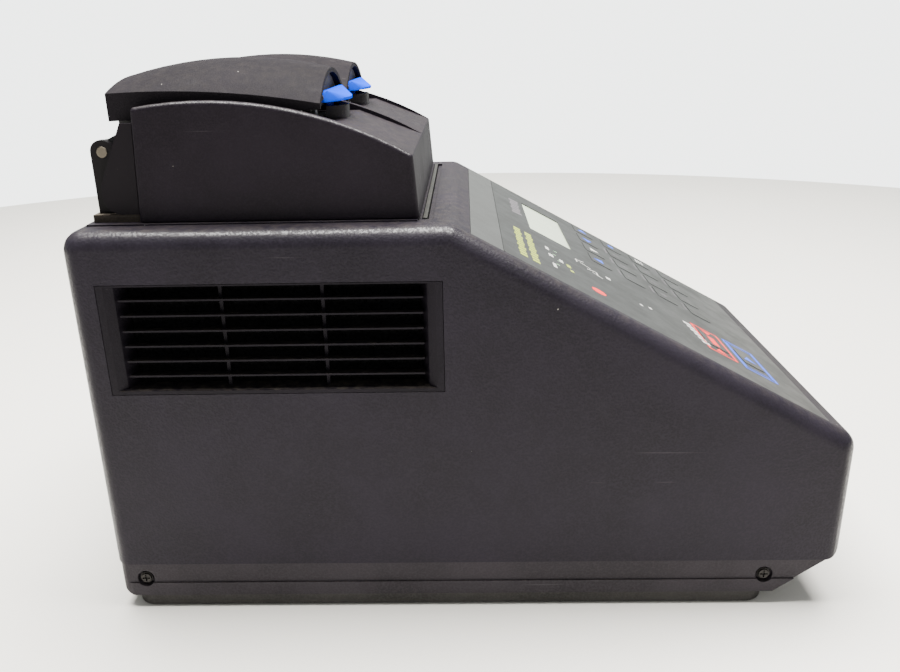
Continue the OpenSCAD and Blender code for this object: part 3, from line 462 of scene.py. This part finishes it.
def painted_shade_pad(name, grille, inwards, thick=5 * MM, gap=0.6 * MM, ripple=0.5 * MM):
    """A near-black foam pad behind a vent that paints the shade inside it; its face swells and sinks a
    little all over.
    """
    low, high = (Vector(c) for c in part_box(grille))
    back = high.x if inwards > 0 else low.x
    middle = (back + inwards * (gap + thick / 2), (low.y + high.y) / 2, (low.z + high.z) / 2)
    g = Pattern(name, {
        "Centre": ("Vector", middle),
        "Size": ("Vector", (thick - ripple, high.y - low.y - 2 * MM, high.z - low.z - 2 * MM)),
        "Ripple": ("Float", ripple), "Seed": ("Float", 3.0)})
    pad = g.node("GeometryNodeMeshCube", inputs={
        "Size": g.size("Size"), "Vertices X": 2, "Vertices Y": 70, "Vertices Z": 24})
    spot = g.node("GeometryNodeInputPosition")
    swell = g.node("ShaderNodeTexNoise", {"noise_dimensions": "4D"}, {
        "Vector": spot, "W": g.size("Seed"), "Scale": 1 / (5 * MM)}) - 0.5
    out = g.sign(g.part(spot, "X"))
    shift = g.node("ShaderNodeCombineXYZ", inputs={0: swell * out * g.size("Ripple")})
    moved = g.node("GeometryNodeSetPosition", inputs={"Geometry": pad, "Offset": shift})
    return g.piece(name, g.node("GeometryNodeTransform", inputs={0: moved, "Translation": g.size("Centre")}),
                   BODY_OF[grille], "grille_plastic", "filter_foam")


# ---- printing on the control panel ----

def joint(name):
    return next(j for j in frame["record"]["behaviour"]["joints"] if j["name"] == name)


OUT = -Vector(joint("key_0_press")["axis"])      # out of the slope
DOWN = Vector((0.0, -OUT.z, OUT.y))              # down the slope
FILM = 0.6 * MM
PROUD = 0.25 * MM
INK = 0.05 * MM
TOP_EDGE = Vector((0.0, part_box("control_overlay")[1][1] + FILM * OUT.y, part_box("control_overlay")[1][2]))


def on_panel(x, down, rise=0.0):
    """A point x across from the panel's middle and down from the overlay's top edge, in millimetres."""
    return TOP_EDGE + Vector((x * MM, 0.0, 0.0)) + DOWN * down * MM + OUT * rise


def key_place(node):
    """The middle of a key on the panel, in the same millimetres."""
    low, high = (Vector(c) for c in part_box(node))
    middle = (low + high) / 2 - TOP_EDGE
    return middle.x / MM, middle.dot(DOWN) / MM


def bar(x, down, w, h, lean=0.0):
    return [(x - w / 2 - lean, down - h / 2), (x + w / 2 - lean, down - h / 2),
            (x + w / 2 + lean, down + h / 2), (x - w / 2 + lean, down + h / 2)]


def arrow(x, down, size, turn):
    return [(x + size * math.sin(math.radians(turn + a)), down - size * math.cos(math.radians(turn + a)))
            for a in (0, 120, 240)]


def oval(x, down, w, h, sides=24):
    return [(x + w / 2 * math.cos(2 * math.pi * i / sides), down + h / 2 * math.sin(2 * math.pi * i / sides))
            for i in range(sides)]


def border(x, down, w, h, thick):
    """Four bars that leave a rectangle open."""
    half_w, half_h, post = (w - thick) / 2, (h - thick) / 2, h - 2 * thick
    return [bar(x, down - half_h, w, thick), bar(x, down + half_h, w, thick),
            bar(x - half_w, down, thick, post), bar(x + half_w, down, thick, post)]


def printed(name, body, finish, shapes, rise=0.0):
    """Flat shapes of ink on the overlay, or on a key that stands proud of it."""
    work = bmesh.new()
    for shape in shapes:
        top = [work.verts.new(on_panel(x, down, rise + INK)) for x, down in shape]
        low = [work.verts.new(on_panel(x, down, rise - INK)) for x, down in shape]
        work.faces.new(top)
        work.faces.new(low[::-1])
        for k, corner in enumerate(top):
            after = (k + 1) % len(top)
            work.faces.new((corner, low[k], low[after], top[after]))
    bmesh.ops.recalc_face_normals(work, faces=work.faces)
    mesh = bpy.data.meshes.new(name)
    work.to_mesh(mesh)
    work.free()
    return settle(add_object(name, mesh), body, SLOT_OF_PRINT[finish], finish)


def numeral(node, digit):
    """A number printed on a key."""
    text = bpy.data.curves.new(node + "_number", "FONT")
    text.body, text.size, text.extrude = digit, 9 * MM, INK
    text.align_x, text.align_y = "CENTER", "CENTER"
    holder = add_object(node + "_numeral", text)
    mesh = bpy.data.meshes.new_from_object(holder.evaluated_get(bpy.context.evaluated_depsgraph_get()))
    bpy.data.objects.remove(holder)
    x, down = key_place(node)
    for v in mesh.vertices:
        v.co = on_panel(x + v.co.x / MM, down - v.co.y / MM, PROUD + v.co.z)
    tidy = bmesh.new()
    tidy.from_mesh(mesh)
    bmesh.ops.remove_doubles(tidy, verts=tidy.verts, dist=0.001 * MM)
    bmesh.ops.recalc_face_normals(tidy, faces=tidy.faces)
    tidy.to_mesh(mesh)
    tidy.free()
    settle(add_object(node + "_numeral", mesh), BODY_OF[node], "key_film", "print_faint")


def panel_printing():
    on_case = BODY_OF["control_overlay"]
    caption = [bar(-30 - 5.3 * i, d + 0.4 * math.sin(3.7 * i), 4.1, 4.4)
               for i in range(13) for d in (12.5, 20)]
    printed("caption_print", on_case, "print_lime", caption)
    patch = [bar(26 + 7 * i, 16.5, 5.6, 7.5 - 1.5 * (i % 2), 0.8) for i in range(7)]
    printed("patch_print", on_case, "print_faint", patch)
    labels = [bar(-42, 32, 7, 2.2), bar(-57, 33, 6, 3), bar(-79, 33, 9, 2.2), bar(-59, 39.5, 6, 2.4),
              bar(-36, 75, 5, 3), bar(-63, 92, 3, 2), bar(-59, 99, 3.4, 2)]
    captions = [bar(-46 - 5.6 * i, 128 + 0.9 * i, 4.2, 5.4) for i in range(6)]
    printed("label_print", on_case, "print_pale", labels + captions)
    printed("lamp_label_print", on_case, "print_lime", [bar(-62, 44, 6, 2.6), bar(-71, 45, 4, 2.2)])
    zigzag = [bar(-28 - 5.2 * i, 56 + 3.4 * i, 1.1, 6.5, 2.0 * (-1) ** i) for i in range(4)]
    printed("zigzag_print", on_case, "print_pale", zigzag + [bar(-31, 53.5, 7, 0.9), bar(-41, 66.5, 8, 0.9)])
    printed("alarm_print", on_case, "print_red", [oval(-87, 59.5, 9, 9)])
    stop_x, stop_down = key_place("key_stop")
    start_x, start_down = key_place("key_start")
    printed("stop_frame_print", on_case, "print_red", border(stop_x, stop_down, 44, 19.5, 1.6)
            + [arrow(stop_x + s * 16, stop_down, 4.5, -90 * s) for s in (-1, 1)])
    printed("start_frame_print", on_case, "print_blue", border(start_x, start_down, 48, 22, 1.3)
            + border(start_x, start_down, 40, 18.5, 0.8))
    printed("stop_print", BODY_OF["key_stop"], "print_red", [bar(stop_x, stop_down, 15, 5)], PROUD)
    printed("start_print", BODY_OF["key_start"], "print_blue", [arrow(start_x, start_down, 5, 90)], PROUD)
    for node, finish, turn in (("key_up", "print_blue", 0), ("key_down", "print_pale", 180),
                               ("key_left", "print_blue", -90), ("key_right", "print_blue", 90)):
        x, down = key_place(node)
        printed(node + "_print", BODY_OF[node], finish, [arrow(x, down, 4.6, turn)], PROUD)
    for node, finish, lines in (("key_exit", "print_blue", 1), ("key_menu", "print_pale", 3)):
        x, down = key_place(node)
        rows = [bar(x, down + 2.4 * (k - (lines - 1) / 2), 10 - 5 * (lines == 1), 4.4 if lines == 1 else 1.1)
                for k in range(lines)]
        printed(node + "_print", BODY_OF[node], finish, rows, PROUD)
    for digit in "0123456789":
        numeral("key_" + digit, digit)
        x, down = key_place("key_" + digit)
        strokes = [bar(x - 6 + 4 * k, down - 10, 3, 1.5) for k in range(4)]
        printed("key_" + digit + "_caption", on_case, "print_faint", strokes)


# ---- stage, lights and camera ----

def stage():
    mesh = bpy.data.meshes.new("floor")
    reach, sides = 1.5, 96
    rim = [(reach * math.cos(2 * math.pi * i / sides), reach * math.sin(2 * math.pi * i / sides), 0)
           for i in range(sides)]
    mesh.from_pydata(rim, [], [range(sides)])
    floor = add_object("floor", mesh)
    f = Finish("floor_paint", Specular_IOR_Level=0.3)
    cloud = f.noise(0.4, 2)
    color = f.blend(cloud, rgb(0.90, 0.88, 0.82), rgb(0.93, 0.91, 0.85))
    mesh.materials.append(f.surface(color, 0.6 + cloud * 0.1))


def lamp(name, at, towards, size, power, tone=(1.0, 1.0, 1.0)):
    light = bpy.data.lights.new(name, "AREA")
    light.shape, light.size, light.size_y = "RECTANGLE", size[0], size[1]
    light.energy, light.color = power, tone
    obj = add_object(name, light)
    obj.visible_camera = False
    obj.location = at
    obj.rotation_mode = "QUATERNION"
    obj.rotation_quaternion = (Vector(towards) - Vector(at)).to_track_quat("-Z", "Y")


def lights():
    """A pale room: bright to look at, dimmer as a light, with soft boxes above and beyond the machine."""
    world = bpy.data.worlds.new("studio")
    bpy.context.scene.world = world
    world.use_nodes = True
    room = Graph(world.node_tree)
    back = world.node_tree.nodes["Background"]
    back.inputs["Color"].default_value = rgb(0.97, 1.0, 0.985)
    room.feed(back.inputs["Strength"], 0.30 + 3.7 * room.node("ShaderNodeLightPath", out="Is Camera Ray"))
    lamp("overhead", (0.15, 0.0, 1.6), (0.0, 0.0, 0.1), (1.5, 0.9), 150, (1.0, 0.98, 0.95))
    lamp("far_wall", (1.5, 0.0, 0.55), (0.0, 0.0, 0.25), (2.6, 1.1), 9, (0.95, 1.0, 0.97))
    lamp("near_fill", (-1.6, -0.6, 1.0), (0.0, 0.0, 0.15), (1.2, 1.0), 3)


def camera():
    data = bpy.data.cameras.new("camera")
    data.lens, data.sensor_width = LENS, 36.0
    obj = add_object("camera", data)
    up = RIGHT.cross(LOOK).normalized()
    across = LOOK.cross(up)
    turn = Matrix((across, up, -LOOK)).transposed().to_4x4()
    obj.matrix_world = Matrix.Translation(CAMERA_AT) @ turn
    bpy.context.scene.camera = obj


camera()
stage()
lights()

panel_printing()

QUARTER = math.pi / 2
SCREW_HEAD = 3.4 * MM
SCREW_SINK = 0.8 * MM        # how far the heads stand in from the ends of their screws
SCREW_SHAFT = 7 * MM         # the screws' box is this much longer than the span between their middles
BACK_SCREW_HEAD = 2.6 * MM
BACK_SCREW_IN = 22 * MM      # the rear panel's size less the span of its screws
WELLS = (6, 8)
WELL_PITCH = 9 * MM
WELL_RIM = 3.05 * MM

# Near-black foam pads behind both vents: painted shade for the dark space inside them.
for side, inwards in (("left", 1), ("right", -1)):
    painted_shade_pad(side + "_filter_pad", side + "_vent_grille", inwards)
screw_low, screw_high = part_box("case_screws")
screws("case_screw_heads", "case",
       (0.0, (screw_low[1] + screw_high[1]) / 2, (screw_low[2] + screw_high[2]) / 2),
       (2 * (screw_high[0] - SCREW_SINK), screw_high[1] - screw_low[1] - SCREW_SHAFT), (2, 2),
       (0.0, 0.0, 0.0), (0.0, QUARTER, 0.0), 1.0, SCREW_HEAD)
back_low, back_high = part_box("rear_panel")
screws("back_panel_screws", "case",
       ((back_low[0] + back_high[0]) / 2, back_high[1] + 0.2 * MM, (back_low[2] + back_high[2]) / 2),
       (back_high[0] - back_low[0] - BACK_SCREW_IN, back_high[2] - back_low[2] - BACK_SCREW_IN), (3, 2),
       (-QUARTER, 0.0, 0.0), (0.0, 0.0, 0.0), radius=BACK_SCREW_HEAD)
for side in ("left", "right"):
    well_rims(side + "_well_rims", side + "_sample_block", *WELLS, WELL_PITCH, WELL_RIM)

BEVELS = {
    "case_shell": 0.5, "base_housing": 0.35, "bottom_pan": 1.0, "rubber_feet": 0.6, "left_module_cover": 0.8,
    "right_module_cover": 0.8, "rear_side_plates": 0.5, "hinge_brackets": 0.5, "hinge_pins": 0.4,
    "power_entry": 0.5, "power_rocker": 0.3, "rear_panel": 0.2, "fan_frame": 0.6, "fan_rotor": 0.2,
    "left_latch": 0.3, "right_latch": 0.3, "left_lid_shell": 0.4, "right_lid_shell": 0.4,
    "left_vent_grille": 0.25, "right_vent_grille": 0.25, "control_overlay": 0.05, "panel_strip": 0.05,
}
for node_name in frame["nodes"]:
    refined(node_name, BEVELS.get(node_name, 0.06 if node_name.startswith("key_") else 0.25) * MM)
